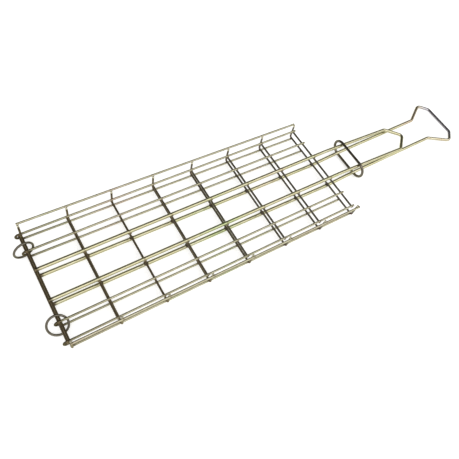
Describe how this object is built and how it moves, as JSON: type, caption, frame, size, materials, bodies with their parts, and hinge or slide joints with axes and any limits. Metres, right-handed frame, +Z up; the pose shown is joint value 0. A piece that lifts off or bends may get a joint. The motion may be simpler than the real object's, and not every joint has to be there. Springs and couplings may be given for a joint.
{
  "type": "sandwich toaster grid",
  "caption": "Hinged wire grid with a long double handle and a sliding latch ring, for toasting sandwiches side by side over a fire or coals.",
  "frame": {"origin": "under the middle of the whole grid's outline, on the surface that it stands on", "axes": "+X from the hinge rings to the end of the handle, +Y across the basket, +Z up"},
  "size_m": [0.6408, 0.155, 0.0285],
  "materials": {
    "long_wire": "steel wire with an iridescent yellow zinc plating",
    "handle_wire": "thicker steel wire with an iridescent yellow zinc plating",
    "cross_wire": "steel wire with a darker zinc plating",
    "ring_wire": "steel wire with a darker zinc plating"
  },
  "bodies": {
    "tray": {"tray_cross_wire_1": "cross_wire", "tray_cross_wire_2": "cross_wire", "tray_cross_wire_3": "cross_wire", "tray_cross_wire_4": "cross_wire", "tray_cross_wire_5": "cross_wire", "tray_cross_wire_6": "cross_wire", "tray_cross_wire_7": "cross_wire", "tray_cross_wire_8": "cross_wire", "tray_edge_wire_far": "long_wire", "tray_edge_wire_near": "long_wire", "tray_handle_wire": "handle_wire", "tray_inner_wire_far": "long_wire", "tray_inner_wire_near": "long_wire", "tray_rail_far": "long_wire", "tray_rail_near": "long_wire"},
    "lid": {"lid_cross_wire_1": "cross_wire", "lid_cross_wire_2": "cross_wire", "lid_cross_wire_3": "cross_wire", "lid_cross_wire_4": "cross_wire", "lid_cross_wire_5": "cross_wire", "lid_cross_wire_6": "cross_wire", "lid_cross_wire_7": "cross_wire", "lid_cross_wire_8": "cross_wire", "lid_edge_wire_far": "long_wire", "lid_edge_wire_near": "long_wire", "lid_handle_wire": "handle_wire", "lid_inner_wire_far": "long_wire", "lid_inner_wire_near": "long_wire"},
    "hinge_ring_far": {"hinge_ring_far": "ring_wire"},
    "hinge_ring_near": {"hinge_ring_near": "ring_wire"},
    "latch_ring": {"latch_ring": "ring_wire"}
  },
  "joints": [
    {"name": "lid_hinge", "type": "hinge", "parent": "tray", "child": "lid", "pos_m": [-0.30629, 0, 0.0144], "axis": [0, -1, 0], "range_deg": [0, 180]},
    {"name": "far_ring_slide", "type": "slide", "parent": "tray", "child": "hinge_ring_far", "axis": [0, 1, 0], "range_m": [0, 0.003]},
    {"name": "near_ring_slide", "type": "slide", "parent": "tray", "child": "hinge_ring_near", "axis": [0, 1, 0], "range_m": [0, 0.003]},
    {"name": "latch_slide", "type": "slide", "parent": "tray", "child": "latch_ring", "axis": [0.9988, 0, 0.048], "range_m": [0, 0.14]}
  ]
}
